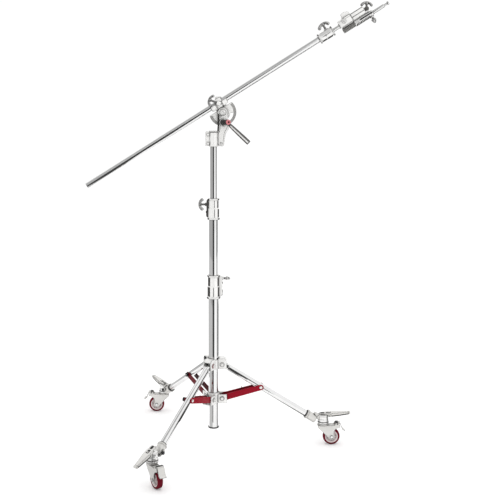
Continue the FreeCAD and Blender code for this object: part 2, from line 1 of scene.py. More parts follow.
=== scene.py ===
"""Looks for the wheeled boom stand: materials, finer pieces, light, floor and camera."""
import bmesh
import bpy
import json
from math import asin, atan2, ceil, cos, degrees, pi, radians, sin
from mathutils import Matrix, Vector
from mathutils.geometry import tessellate_polygon

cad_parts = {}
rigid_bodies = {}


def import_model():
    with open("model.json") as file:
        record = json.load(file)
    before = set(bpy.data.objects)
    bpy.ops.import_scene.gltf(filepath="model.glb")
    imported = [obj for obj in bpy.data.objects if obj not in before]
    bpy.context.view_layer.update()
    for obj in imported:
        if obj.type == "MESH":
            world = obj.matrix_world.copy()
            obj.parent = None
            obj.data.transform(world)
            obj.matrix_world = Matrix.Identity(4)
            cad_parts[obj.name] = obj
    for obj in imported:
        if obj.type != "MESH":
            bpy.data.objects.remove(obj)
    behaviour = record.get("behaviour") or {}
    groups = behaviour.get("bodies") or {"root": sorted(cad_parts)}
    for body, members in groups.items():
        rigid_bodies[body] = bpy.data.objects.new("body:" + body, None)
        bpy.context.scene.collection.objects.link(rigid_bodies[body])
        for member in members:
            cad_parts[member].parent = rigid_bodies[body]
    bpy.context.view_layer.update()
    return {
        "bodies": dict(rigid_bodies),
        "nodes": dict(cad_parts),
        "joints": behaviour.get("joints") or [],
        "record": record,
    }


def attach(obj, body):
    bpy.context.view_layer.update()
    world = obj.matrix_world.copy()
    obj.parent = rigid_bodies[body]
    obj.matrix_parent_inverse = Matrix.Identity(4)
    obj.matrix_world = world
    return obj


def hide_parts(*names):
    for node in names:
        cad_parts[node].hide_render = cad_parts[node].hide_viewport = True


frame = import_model()
NODES = frame["nodes"]
BODY_OF = {node: body for body, members in frame["record"]["behaviour"]["bodies"].items()
           for node in members}
SLOT_OF = {part["node"]: part["material_slot"] for part in frame["record"]["subparts"]}
MM = 0.001
X, Y, Z = Vector((1, 0, 0)), Vector((0, 1, 0)), Vector((0, 0, 1))

# Places in millimetres, angles in degrees. A bracketed pair is (x, z); the pivots of the hub and the
# collar, the handles of the risers and the two axes are heights.
AZIMUTHS = {"right": 0, "rear": 120, "front": 240}
SWIVELS = {"right": 0, "rear": 60, "front": 60}
PEDAL_LEANS = {"right": -4, "rear": -4, "front": 16}
NUT_SIDES = {"right": 1, "rear": 1, "front": -1}
PIVOTS_OUT = 38
HUB_PIVOT, COLLAR_PIVOT = 378, 222
HUB_HALF, COLLAR_HALF = 19.8, 22.6
LEG_SLOPE, BRACE_SLOPE, BOOM_SLOPE = 31.7, 15.7, 31.9
BRACE_LENGTH = 180.3
CASTER_STEM = 495
PEDAL_PIN, AXLE, BRAKE_PIN = (527, 138), (533, 38), (558, 99)
LOWER_HANDLE, UPPER_HANDLE = 766, 1092
PINCH_BOLTS = ((-24, 1354), (-24, 1392))
BOOM_PIVOT, LEVER_PIVOT = (39, 1486), (41.3, 1444)
BOOM_AXIS, RECEIVER_AXIS = 43.5, 18.5
BOOM_HANDLE, RECEIVER_HANDLE = 547, 738
SLEEVE_SCREW_LEAN = 38

# Studio cards: start and end in degrees from the camera's side, near and far radius in metres for
# those on the floor, and shade.
WALL_CARDS = ((-23, 18, .06), (-165, -23, .45), (76, 116, .05))
FLOOR_CARDS = ((-23, -8, .2, 7, .06), (-8, 4, .45, 7, .06), (4, 18, 1.3, 7, .06),
               (-100, -23, .12, 7, .6), (-165, -100, .9, 7, .6), (82, 108, .12, 7, .05),
               (120, 170, 1.4, 4, .10))
CARD_REACH, WALL_TOP, FLOOR_CARD_HEIGHT = 7.0, 3.5, 0.001
CAMERA_DIP = 0.1656


# -------- materials
# Near-black colours for the painted dark reflection along metal edges and the painted shade in crevices.
PAINTED_EDGE_REFLECTION, PAINTED_CREVICE_SHADE = (.06, .058, .054), (.05, .048, .045)


class Shader:
    """One material with a few short ways to add nodes."""

    def __init__(self, name):
        self.material = bpy.data.materials.new(name)
        self.material.use_nodes = True
        self.tree = self.material.node_tree
        self.surface = self.tree.nodes["Principled BSDF"]
        self.place = self.tree.nodes.new("ShaderNodeTexCoord").outputs["Object"]

    def node(self, kind, inputs=(), **fields):
        made = self.tree.nodes.new(kind)
        for field, value in fields.items():
            setattr(made, field, value)
        for socket, value in dict(inputs).items():
            self.put(made.inputs[socket], value)
        return made

    def put(self, socket, value):
        """Link a socket to another one, or set it to a plain value."""
        if isinstance(value, bpy.types.NodeSocket):
            self.tree.links.new(value, socket)
        else:
            socket.default_value = value

    def link(self, value, socket):
        self.put(self.surface.inputs[socket], value)

    def remap(self, value, start, end, low=0.0, high=1.0):
        return self.node("ShaderNodeMapRange", {"Value": value, "From Min": start, "From Max": end,
                                                "To Min": low, "To Max": high}).outputs["Result"]

    def noise(self, scale, detail=3.0, stretch=None):
        place = self.place
        if stretch:
            place = self.node("ShaderNodeMapping", {"Vector": place, "Scale": stretch}).outputs[0]
        return self.node("ShaderNodeTexNoise", {"Vector": place, "Scale": scale,
                                                "Detail": detail}).outputs["Fac"]

    def spread(self, factor, low, high):
        return self.remap(factor, 0.3, 0.7, low, high)

    def mix(self, factor, first, second):
        first, second = ((*shade, 1) if isinstance(shade, tuple) else shade
                         for shade in (first, second))
        return self.node("ShaderNodeMix", {0: factor, 6: first, 7: second},
                         data_type="RGBA").outputs[2]

    def edges(self, reach):
        """1 along a piece's edges and 0 on its open faces."""
        eased = self.node("ShaderNodeBevel", {"Radius": reach}, samples=4).outputs["Normal"]
        true = self.node("ShaderNodeNewGeometry").outputs["Normal"]
        alike = self.node("ShaderNodeVectorMath", {0: eased, 1: true},
                          operation="DOT_PRODUCT").outputs["Value"]
        return self.remap(alike, 0.998, 0.93)

    def bump(self, height, strength, distance):
        made = self.node("ShaderNodeBump", {"Height": height, "Strength": strength,
                                            "Distance": distance})
        self.link(made.outputs["Normal"], "Normal")

    def crevices(self, near, most):
        """How far a point lies in a crevice, from 0 in the open to most deep inside."""
        open_sky = self.node("ShaderNodeAmbientOcclusion", {"Distance": near}, samples=8).outputs["AO"]
        return self.remap(open_sky, 0.35, 0.9, most, 0.0)


def metal(name, shade, dull, rough, grain, grain_depth, stretch=None, bare=1.0, painted_shade_depth=0.75, near=0.006,
          edge=0.0):
    """Metal: two close shades in soft patches, patchy roughness, a fine grain, a painted dark
    reflection along edges, and painted shade where surfaces meet. bare is how metallic it looks."""
    made = Shader(name)
    bright = made.mix(made.spread(made.noise(9, 4), 0.0, 1.0), shade, dull)
    # Painted reflection: darken the rounded edges with the dark line that polished edges reflect.
    if edge:
        rim = made.node("ShaderNodeMath", {0: made.edges(0.0035), 1: edge},
                        operation="MULTIPLY").outputs[0]
        bright = made.mix(rim, bright, PAINTED_EDGE_REFLECTION)
    # Painted shade: darken the colour towards near-black in crevices and where surfaces meet.
    made.link(made.mix(made.crevices(near, painted_shade_depth), bright, PAINTED_CREVICE_SHADE), "Base Color")
    made.link(bare, "Metallic")
    fine = made.noise(grain, 3, stretch)
    made.link(made.spread(made.noise(30, 5), *rough), "Roughness")
    made.bump(fine, grain_depth, distance=0.00005)
    return made.material


def painted(name, shade, dark, rough, edge=None, gloss=0.3, scale=25, depth=0.05, near=0.0):
    """Paint or plastic: a mottled colour, scuffed where edges stand proud, with painted shade in
    crevices.
    """
    made = Shader(name)
    colour = made.mix(made.spread(made.noise(scale, 5), 0.0, 1.0), shade, dark)
    if edge:
        colour = made.mix(made.edges(0.0008), colour, edge)
    # Painted shade: darken the colour in crevices.
    if near:
        colour = made.mix(made.crevices(near, 0.8), colour, tuple(0.12 * part for part in shade))
    made.link(colour, "Base Color")
    made.link(made.spread(made.noise(scale * 2.2, 4), *rough), "Roughness")
    made.link(gloss, "Specular IOR Level")
    made.bump(made.noise(scale * 12, 4), depth, distance=0.0002)
    return made.material


MATERIALS = {
    "polished_tube": metal("Polished tube", (.86, .86, .855), (.80, .80, .80), (.03, .08), 300, .02,
                           (1, 1, .05)),
    "cast_alloy": metal("Cast alloy", (.93, .925, .91), (.85, .845, .83), (.28, .40), 260, .08, bare=.14,
                        painted_shade_depth=.9, near=.012, edge=.8),
    "turned_alloy": metal("Turned alloy", (.90, .895, .885), (.80, .795, .785), (.12, .20), 260, .04,
                          bare=.7, painted_shade_depth=.9, near=.010, edge=.75),
    "bright_hardware": metal("Bright hardware", (.84, .84, .83), (.75, .75, .74), (.07, .14), 260, .03,
                             painted_shade_depth=.85, near=.010, edge=.5),
    "black_hardware": painted("Black hardware", (.012, .012, .012), (.025, .025, .025), (.3, .45),
                              (.08, .08, .08)),
    "red_paint": painted("Red paint", (.30, .003, .016), (.25, .0025, .013), (.32, .42),
                         (.46, .02, .04), 0.12, near=.05),
    "red_cap": painted("Red cap", (.62, .20, .22), (.55, .17, .19), (.3, .42)),
    "white_core": painted("Pale wheel core", (.78, .70, .69), (.68, .60, .59), (.3, .45), near=.008),
    "red_tyre": painted("Red tyre", (.15, .0035, .014), (.115, .003, .011), (.45, .6), (.24, .02, .035),
                        0.08, near=.012),
    "black_brake": painted("Black brake tab", (.012, .012, .012), (.022, .022, .022), (.35, .5)),
}
MAROON = painted("Maroon cap centre", (.10, .004, .012), (.07, .003, .008), (.3, .42))
FOOT_CAST = metal("Foot casting", (.74, .73, .705), (.62, .61, .585), (.28, .40), 260, .08, bare=.3,
                  painted_shade_depth=.94, near=.022, edge=.92)
DULL_RIM = metal("Dull rim", (.74, .735, .72), (.62, .615, .60), (.25, .36), 260, .06, bare=.2,
                 painted_shade_depth=.9, near=.008, edge=.6)
DARK_ALLOY = metal("Dark alloy", (.16, .155, .15), (.11, .108, .105), (.18, .3), 260, .05, bare=.6)
# Near-black alloy, also used for strips that paint dark reflections and shade.
BLACK_ALLOY_PAINTED_SHADE_AND_REFLECTION = metal("Black alloy, painted shade and reflection", (.045, .043, .04), (.03, .029, .027), (.3, .42), 260, .05, bare=.2)
MID_ALLOY = metal("Grey alloy", (.36, .355, .34), (.26, .255, .245), (.2, .3), 260, .05, bare=.6,
                  painted_shade_depth=.9, near=.008, edge=.7)
HANDLE = metal("Handle steel", (.60, .595, .585), (.42, .415, .41), (.10, .2), 200, .05, bare=.9,
               painted_shade_depth=.95, near=.016, edge=.8)
# A darker copy of the red paint: painted shade for the rear brace, which sits in shadow.
RED_WITH_PAINTED_SHADE = painted("Red paint with painted shade, rear", (.13, .0015, .008), (.10, .001, .006), (.32, .42),
                     (.22, .008, .018), 0.10, near=.05)


# -------- stage
def add(name, data):
    made = bpy.data.objects.new(name, data)
    bpy.context.scene.collection.objects.link(made)
    return made


def stage():
    scene = bpy.context.scene
    scene.view_settings.view_transform = "Standard"
    floor = bpy.data.meshes.new("Floor")
    reach = 40
    floor.from_pydata([(-reach, -reach, 0), (reach, -reach, 0), (reach, reach, 0),
                       (-reach, reach, 0)], [], [(0, 1, 2, 3)])
    floor_object = add("Floor", floor)
    pale = Shader("Pale floor")
    pale.link((.98, .98, .98, 1), "Base Color")
    pale.link(.9, "Roughness")
    pale.link(0.0, "Specular IOR Level")
    pale.link((1, 1, 1, 1), "Emission Color")
    pale.link(.10, "Emission Strength")
    floor.materials.append(pale.material)

    world = bpy.data.worlds.new("Studio")
    scene.world = world
    world.use_nodes = True
    world.node_tree.nodes["Background"].inputs["Color"].default_value = (1, 1, 1, 1)
    world.node_tree.nodes["Background"].inputs["Strength"].default_value = 1.03
    lamp = bpy.data.lights.new("Overhead", "AREA")
    lamp.shape, lamp.size, lamp.energy = "SQUARE", 5, 20
    lamp_object = add("Overhead", lamp)
    lamp_object.location = (0.5, -1.0, 5.0)
    lamp_object.visible_glossy = False

    # Grey and black cards round the set and on its floor, seen only in reflections.
    for start, end, shade in WALL_CARDS:
        card(f"Card {start}", start, end, (CARD_REACH, 0.0), (CARD_REACH, WALL_TOP), shade)
    for start, end, near, far, shade in FLOOR_CARDS:
        card(f"Floor card {start}", start, end, (near, FLOOR_CARD_HEIGHT),
             (far, FLOOR_CARD_HEIGHT), shade)
    ceiling(.5)

    camera = add("Camera", bpy.data.cameras.new("Camera"))
    scene.camera = camera
    camera.location = (0, -3.700, 1.510)
    camera.rotation_euler = (pi / 2 - CAMERA_DIP, 0, 0)
    camera.data.sensor_width = 36
    camera.data.lens = 61.78
    camera.data.shift_x = 0.0728


def glow(name, shade):
    made = bpy.data.materials.new(name)
    made.use_nodes = True
    tree = made.node_tree
    tree.nodes.clear()
    emission = tree.nodes.new("ShaderNodeEmission")
    emission.inputs["Color"].default_value = (shade, shade, shade, 1)
    output = tree.nodes.new("ShaderNodeOutputMaterial")
    tree.links.new(emission.outputs[0], output.inputs["Surface"])
    return made


def reflected_only(name, vertices, faces, shade):
    mesh = bpy.data.meshes.new(name)
    mesh.from_pydata(vertices, [], faces)
    mesh.materials.append(glow(name, shade))
    made = add(name, mesh)
    made.visible_camera = made.visible_diffuse = made.visible_shadow = False
    made.visible_transmission = made.visible_volume_scatter = False


def card(name, start, end, first, second, shade):
    """A strip on part of a circle round the column, between two (radius, height) edges."""
    steps = max(2, ceil((end - start) / 6))
    vertices = []
    for step in range(steps + 1):
        angle = radians(start + (end - start) * step / steps)
        vertices += [(radius * sin(angle), -radius * cos(angle), height)
                     for radius, height in (first, second)]
    faces = [(2 * i, 2 * i + 2, 2 * i + 3, 2 * i + 1) for i in range(steps)]
    reflected_only(name, vertices, faces, shade)


def ceiling(shade, height=4.6, reach=CARD_REACH):
    """A grey card over the left half of the set."""
    vertices = [(-reach, -reach, height), (0.5, -reach, height), (0.5, 1.0, height),
                (-reach, 1.0, height)]
    reflected_only("Ceiling card", vertices, [(0, 1, 2, 3)], shade)


# -------- mesh tools (millimetres)
def aim(point, along):
    """A frame at a point with its +Z along a direction."""
    lean = Z.rotation_difference(Vector(along)).to_matrix().to_4x4()
    return Matrix.Translation(Vector(point)) @ lean


def soften(points, radius, steps=3, closed=True):
    """Round the corners of an outline."""
    result = []
    count = len(points)
    for index, point in enumerate(points):
        before, corner = Vector(points[index - 1]), Vector(point)
        after = Vector(points[(index + 1) % count])
        if not closed and index in (0, count - 1):
            result.append(corner)
            continue
        back, forth = before - corner, after - corner
        if back.length < 1e-4 or forth.length < 1e-4 or back.angle(forth) > radians(168):
            result.append(corner)
            continue
        reach = min(radius, 0.45 * back.length, 0.45 * forth.length)
        start, end = corner + back.normalized() * reach, corner + forth.normalized() * reach
        for step in range(steps + 1):
            t = step / steps
            result.append(start * (1 - t) ** 2 + corner * (2 * t * (1 - t)) + end * t ** 2)
    return result


def arc(radius, start, end, steps, centre=(0, 0)):
    return [(centre[0] + radius * cos(radians(start + (end - start) * step / steps)),
             centre[1] + radius * sin(radians(start + (end - start) * step / steps)))
            for step in range(steps + 1)]


def ring(radius, centre=(0, 0), steps=32):
    return arc(radius, 0, 360, steps, centre)[:-1]


def signed_area(loop):
    return sum(a[0] * b[1] - b[0] * a[1] for a, b in zip(loop, loop[1:] + loop[:1])) / 2


def inset(loop, by):
    """Move a loop's sides towards the material, which lies on its left."""
    result = []
    count = len(loop)
    for index in range(count):
        before, here, after = (Vector(loop[i % count]) for i in (index - 1, index, index + 1))
        first, second = (here - before).normalized(), (after - here).normalized()
        side = Vector((-first.y, first.x))
        middle = side + Vector((-second.y, second.x))
        middle = side if middle.length < 1e-6 else middle.normalized()
        result.append(here + middle * (by / max(0.4, middle.dot(side))))
    return result


def band(radius, low, high):
    """The section of a thin band that stands just proud of a radius."""
    return [(radius - 1, low), (radius + 0.3, low), (radius + 0.3, high), (radius - 1, high)]


def cut_corners(height):
    """Offsets and depths of a rounded rim, from the face to the wall."""
    return [(height * (1 - sin(radians(a))), height * (1 - cos(radians(a)))) for a in (0, 30, 60, 90)]


class Piece:
    """One visible piece, which stands for one CAD node."""

    def __init__(self, node, frame=Matrix(), name=None, slot=None, finish=None):
        self.node, self.frame, self.name = node, frame, name or "fine_" + node
        self.slot = slot or SLOT_OF[node]
        self.finish = finish or MATERIALS[self.slot]
        self.mesh = bmesh.new()

    def corner(self, at, x, y, z):
        return self.mesh.verts.new(at @ Vector((x, y, z)))

    def wall(self, first, second):
        count = len(first)
        for i in range(count):
            self.mesh.faces.new((first[i], first[(i + 1) % count], second[(i + 1) % count], second[i]))

    def lathe(self, profile, at=Matrix(), around=56, rounding=0.6):
        """A turned solid: (radius, height) corners about +Z. One that starts on the axis ends there."""
        closed = profile[0][0] > 0
        outline = soften(profile, rounding, closed=closed)
        angles = [2 * pi * step / around for step in range(around)]
        rings = []
        for radius, height in outline:
            if radius < 1e-4:
                rings.append([self.corner(at, 0, 0, height)])
            else:
                rings.append([self.corner(at, radius * cos(a), radius * sin(a), height)
                              for a in angles])
        for lower, upper in zip(rings, rings[1:] + (rings[:1] if closed else [])):
            if len(lower) == 1 and len(upper) == 1:
                continue
            for i in range(around):
                j = (i + 1) % around
                if len(lower) == 1:
                    self.mesh.faces.new((lower[0], upper[j], upper[i]))
                elif len(upper) == 1:
                    self.mesh.faces.new((lower[i], lower[j], upper[0]))
                else:
                    self.mesh.faces.new((lower[i], lower[j], upper[j], upper[i]))
        return self

    def rod(self, radius, low, high, at=Matrix(), rounding=1.0, around=32):
        """A solid round bar along +Z with eased ends."""
        return self.lathe([(0, low), (radius, low), (radius, high), (0, high)], at, around, rounding)

    def slab(self, outline, low, high, at=Matrix(), holes=(), rim=0.8):
        """A plate: an (x, z) outline between two y levels, with rounded rims."""
        loops = []
        for index, loop in enumerate([outline, *holes]):
            points = [tuple(p) for p in loop]
            if (signed_area(points) > 0) != (index == 0):
                points.reverse()
            loops.append(points)
        rim = min(rim, 0.45 * (high - low))
        levels = [(offset, low + depth) for offset, depth in cut_corners(rim)]
        levels += [(offset, low + high - y) for offset, y in reversed(levels)]
        stacks = []
        for loop in loops:
            stack = []
            for offset, y in levels:
                moved = inset(loop, offset) if offset > 1e-6 else [Vector(p) for p in loop]
                stack.append([self.corner(at, p[0], y, p[1]) for p in moved])
            for first, second in zip(stack, stack[1:]):
                self.wall(first, second)
            stacks.append(stack)
        for end in (0, -1):
            flat = [inset(loop, levels[end][0]) for loop in loops]
            corners = [corner for stack in stacks for corner in stack[end]]
            for triangle in tessellate_polygon([[Vector((p[0], p[1], 0)) for p in loop]
                                                for loop in flat]):
                self.mesh.faces.new([corners[i] for i in triangle])
        return self

    def block(self, x, y, z, at=Matrix(), rounding=1.5, rim=1.0):
        corners = [(x[0], z[0]), (x[1], z[0]), (x[1], z[1]), (x[0], z[1])]
        return self.slab(soften(corners, rounding), y[0], y[1], at, rim=rim)

    def loft(self, sections, at=Matrix()):
        """A capped skin over a row of closed loops of 3-D points."""
        loops = [[self.corner(at, *point) for point in section] for section in sections]
        for first, second in zip(loops, loops[1:]):
            self.wall(first, second)
        self.mesh.faces.new(loops[0])
        self.mesh.faces.new(loops[-1])
        return self

    def sweep(self, path, radii, around=20):
        """A round bar along a path, its ends domed."""
        path = [Vector(p) for p in path]
        points, sizes = [], []
        for a in (90, 60, 30):
            points.append(path[0] - (path[1] - path[0]).normalized() * radii[0] * sin(radians(a)))
            sizes.append(max(radii[0] * cos(radians(a)), 0.05))
        points += path
        sizes += radii
        for a in (30, 60, 90):
            points.append(path[-1] + (path[-1] - path[-2]).normalized() * radii[-1] * sin(radians(a)))
            sizes.append(max(radii[-1] * cos(radians(a)), 0.05))
        side = (points[1] - points[0]).orthogonal().normalized()
        sections = []
        for index, (point, size) in enumerate(zip(points, sizes)):
            ahead = points[min(index + 1, len(points) - 1)] - points[max(index - 1, 0)]
            ahead.normalize()
            side = (side - ahead * side.dot(ahead)).normalized()
            other = ahead.cross(side)
            sections.append([point + (side * cos(a) + other * sin(a)) * size
                             for a in (2 * pi * step / around for step in range(around))])
        return self.loft(sections)

    def sector(self, profile, start, end, at=Matrix(), steps=30):
        """Part of a turned ring between two angles about +Z."""
        return self.loft([[(r * cos(a), r * sin(a), z) for r, z in profile] for a in
                          (radians(start + (end - start) * step / steps)
                           for step in range(steps + 1))], at)

    def hexagon(self, flats, height, at=Matrix()):
        """A hexagonal head from z = 0 up, with its top corners turned off."""
        reach = flats / 2 / cos(radians(30))
        outline = [(reach * cos(radians(60 * i)), reach * sin(radians(60 * i))) for i in range(6)]
        upright = Matrix.Rotation(pi / 2, 4, "X")
        return self.slab(soften(outline, 0.8, 2), 0, height, at @ upright, rim=0.9)

    def bolt(self, at, radius, ends, flats, seat, head, nut):
        """A bar along Y between two ends, with a head at -seat and a nut at +seat."""
        self.rod(radius, *ends, at @ ALONG_Y, around=24)
        self.hexagon(flats, head, at @ shift(0, -seat) @ TOWARD)
        return self.hexagon(flats, nut, at @ shift(0, seat) @ ALONG_Y)

    def done(self):
        """Bring the piece into the scene on its body, in metres."""
        bmesh.ops.recalc_face_normals(self.mesh, faces=self.mesh.faces)
        bmesh.ops.transform(self.mesh, matrix=Matrix.Scale(MM, 4) @ self.frame,
                            verts=self.mesh.verts)
        for face in self.mesh.faces:
            face.smooth = True
        for edge in self.mesh.edges:
            if len(edge.link_faces) == 2 and edge.calc_face_angle(0) > radians(38):
                edge.smooth = False
        data = bpy.data.meshes.new(self.name)
        self.mesh.to_mesh(data)
        self.mesh.free()
        data.materials.append(self.finish)
        made = add(self.name, data)
        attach(made, BODY_OF[self.node])
        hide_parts(self.node)


def spin(degrees_round):
    return Matrix.Rotation(radians(degrees_round), 4, "Z")


def shift(x=0, y=0, z=0):
    return Matrix.Translation((x, y, z))


def spot(place, y=0):
    """A frame at an (x, z) place."""
    return shift(place[0], y, place[1])


def tilt_y(angle):
    return Matrix.Rotation(radians(angle), 4, "Y")


def azimuth_frame(side):
    return spin(AZIMUTHS[side])


def leg_frame(side):
    return azimuth_frame(side) @ shift(PIVOTS_OUT, 0, HUB_PIVOT) @ tilt_y(LEG_SLOPE)


def brace_frame(side):
    return azimuth_frame(side) @ shift(PIVOTS_OUT, 0, COLLAR_PIVOT) @ tilt_y(-BRACE_SLOPE)


def caster_frame(side):
    return azimuth_frame(side) @ shift(CASTER_STEM) @ spin(SWIVELS[side]) @ shift(-CASTER_STEM)


def boom_frame(along=0, up=0, toward=0, lean=0):
    return spot(BOOM_PIVOT) @ tilt_y(-BOOM_SLOPE) @ shift(along, toward, up) @ tilt_y(-lean)


ALONG_X = Matrix.Rotation(pi / 2, 4, "Y")
ALONG_Y = Matrix.Rotation(-pi / 2, 4, "X")
TOWARD = Matrix.Rotation(pi / 2, 4, "X")
BOOM_LINE = shift(0, 0, BOOM_AXIS) @ ALONG_X
RECEIVER_LINE = shift(0, 0, RECEIVER_AXIS) @ ALONG_X


# -------- clamp handles
def t_handle(node, stem, frame, tip=6.2):
    """A turned collar on a screw, with two swept wings that thicken towards their tips."""
    made = Piece(node, frame, finish=HANDLE)
    bow, spread, steps, root = 25, 55, 10, 4.8
    angles = [radians(-spread + 2 * spread * i / (2 * steps)) for i in range(2 * steps + 1)]
    path = [(bow * sin(a), 0, stem - bow + bow * cos(a)) for a in angles]
    radii = [root + (tip - root) * min(1, abs(a) / radians(spread)) ** 1.2 for a in angles]
    made.sweep(path, radii)
    made.rod(4.5, 0.3, stem - 8, rounding=0.5, around=24)
    for turn in range(int(max(0, stem - 22) / 2)):
        made.lathe([(4.3, 8 + 2 * turn), (4.95, 9 + 2 * turn), (4.3, 10 + 2 * turn)], around=24,
                   rounding=0.1)
    made.lathe([(0, stem - 10), (7, stem - 10), (7, stem - 3), (5.6, stem + 2.4), (4, stem + 4),
                (0, stem + 4)], rounding=1.2, around=32)
    made.done()


def handles():
    t_handle("lower_collar_handle", 37, aim((31.5, 0, LOWER_HANDLE), X) @ spin(75), 7.6)
    t_handle("upper_collar_handle", 37, aim((-24, 0, UPPER_HANDLE), -X) @ spin(15), 7.6)
    t_handle("boom_end_handle", 32, boom_frame(BOOM_HANDLE, 58.5), 7.6)
    t_handle("sleeve_handle", 44.5, boom_frame(6, 40, -27, SLEEVE_SCREW_LEAN))
    t_handle("head_handle", 25, boom_frame(734.6, 46.8, 0, -34))
    t_handle("receiver_handle", 27,
             boom_frame(RECEIVER_HANDLE, 8) @ Matrix.Rotation(pi, 4, "X") @ spin(90))


# -------- column
def tube(node, outer, inner, low, high):
    Piece(node).lathe([(inner, low), (outer, low), (outer, high), (inner, high)], around=96,
                      rounding=0.5).done()


def riser_collar(node, side, bore, profile, pad, handle, screws, painted_reflection_bands, bar_finish):
    """Cast collar with two flanges, a clamp bar down one side and its bosses."""
    Piece(node, slot="cast_alloy").lathe(profile, around=80, rounding=1.3).done()
    made = Piece(node, name=node + "_bar", finish=bar_finish)
    reach, half, low, high = pad
    face = spin(0 if side > 0 else 180)
    bar = soften([(bore + 1, low), (reach, low), (reach, high - 7), (reach - 7, high),
                  (bore + 1, high)], 4)
    made.slab(bar, -half, half, face, rim=1.6)
    made.block((bore + 1, reach + 1.6), (-half + 2.2, half - 2.2), (low + 5, low + 23), face, 2, 0.8)
    boss = aim((side * (reach - 2), 0, handle), X * side)
    made.lathe([(4.85, 0), (8, 0), (8, 6.5), (7.2, 8), (4.85, 8)], boss, rounding=0.6)
    for height in screws:
        head = aim((side * (reach - 0.5), 0, height), X * side)
        made.lathe([(0, 0), (5.2, 0), (5.2, 2.6), (3.8, 3.6), (2, 3.6), (1.6, 1.8), (0, 1.8)], head,
                   rounding=0.4, around=32)
    made.done()
    # Thin black bands round the collar: a painted dark reflection.
    made = Piece(node, name=node + "_bands", finish=BLACK_ALLOY_PAINTED_SHADE_AND_REFLECTION)
    for start, end, ring_at in painted_reflection_bands:
        made.sector(band(*ring_at), start, end, steps=12)
    made.done()


def column():
    tube("base_tube", 22.25, 20.65, 84.5, 732)
    Piece("base_tube", name="base_tube_seal", slot="black_hardware").lathe(
        [(20.65, 80), (24.45, 80), (24.45, 84.5), (22, 86), (20.65, 86)], around=96,
        rounding=0.9).done()
    tube("mid_riser_tube", 20, 18.4, 425, 1076)
    tube("top_riser_tube", 15, 13.2, 800, 1404)
    body, cap, foot_ring, lip = ((26.5, 687, 729), (24.5, 733, 773), (30.1, 676.9, 683.1),
                                 (27.6, 773.9, 780.1))
    riser_collar("lower_riser_collar", 1, 21,
                 [(22.3, 677), (30, 677), (30, 683), (27.4, 684.5), (26.5, 687), (26.5, 729),
                  (24.6, 732.5), (24.5, 772), (27.5, 774), (27.5, 780), (20.4, 780), (20.4, 732.2),
                  (22.3, 732.2)], pad=(38.5, 8, 686, 779), handle=LOWER_HANDLE, screws=(709, 745),
                 painted_reflection_bands=((178, 234, body), (178, 232, cap), (-46, -22, body), (-46, -22, cap),
                        (-93, -88, body), (178, 224, foot_ring), (178, 224, lip),
                        (-40, -16, foot_ring), (-40, -16, lip)), bar_finish=MATERIALS["cast_alloy"])
    body, cap, foot_ring, lip = ((23.9, 1037, 1073), (21.3, 1078, 1111), (26.6, 1026.9, 1033.1),
                                 (24.6, 1111.9, 1118.1))
    riser_collar("upper_riser_collar", -1, 16,
                 [(20.05, 1027), (26.5, 1027), (26.5, 1033), (24.4, 1034.5), (23.9, 1037),
                  (23.9, 1073), (21.4, 1077), (21.3, 1110), (24.5, 1112), (24.5, 1118), (15.4, 1118),
                  (15.4, 1076.2), (20.05, 1076.2)], pad=(31, 7, 1036, 1117), handle=UPPER_HANDLE,
                 screws=(1059,), painted_reflection_bands=((-42, 0, body), (-42, 0, cap), (-82, -76, body),
                                        (-82, -76, cap), (-44, 0, foot_ring), (-44, 0, lip),
                                        (180, 222, foot_ring), (180, 222, lip)),
                 bar_finish=DARK_ALLOY)


# -------- tripod base
def lug(made, frame, outer, inner, low, high, reach, roof):
    """A forked lug: two cheeks, closed by a roof above or a floor below."""
    top = high - 10 if roof else high
    cheek = soften([(20, low), (reach, low), (reach, top), (reach - 8 * bool(roof), high),
                    (20, high)], 3.5)
    for sign in (-1, 1):
        near, far = sorted((sign * inner, sign * outer))
        made.slab(cheek, near, far, frame, rim=1.1)
        pad = aim((PIVOTS_OUT, sign * (outer - 0.6), HUB_PIVOT if roof else COLLAR_PIVOT), Y * sign)
        made.lathe([(4.05, 0), (10.5, 0), (10, 1.6), (4.05, 1.6)], frame @ pad, rounding=0.4)
    if roof:
        made.slab(soften([(24, high - 5), (reach - 10, high - 5), (reach - 3, top - 3), (reach, top),
                          (reach - 8, high), (24, high)], 1.5), -inner - 1, inner + 1, frame, rim=0.6)
    else:
        made.block((24, reach), (-inner - 1, inner + 1), (low, low + 4), frame, 1, 0.6)


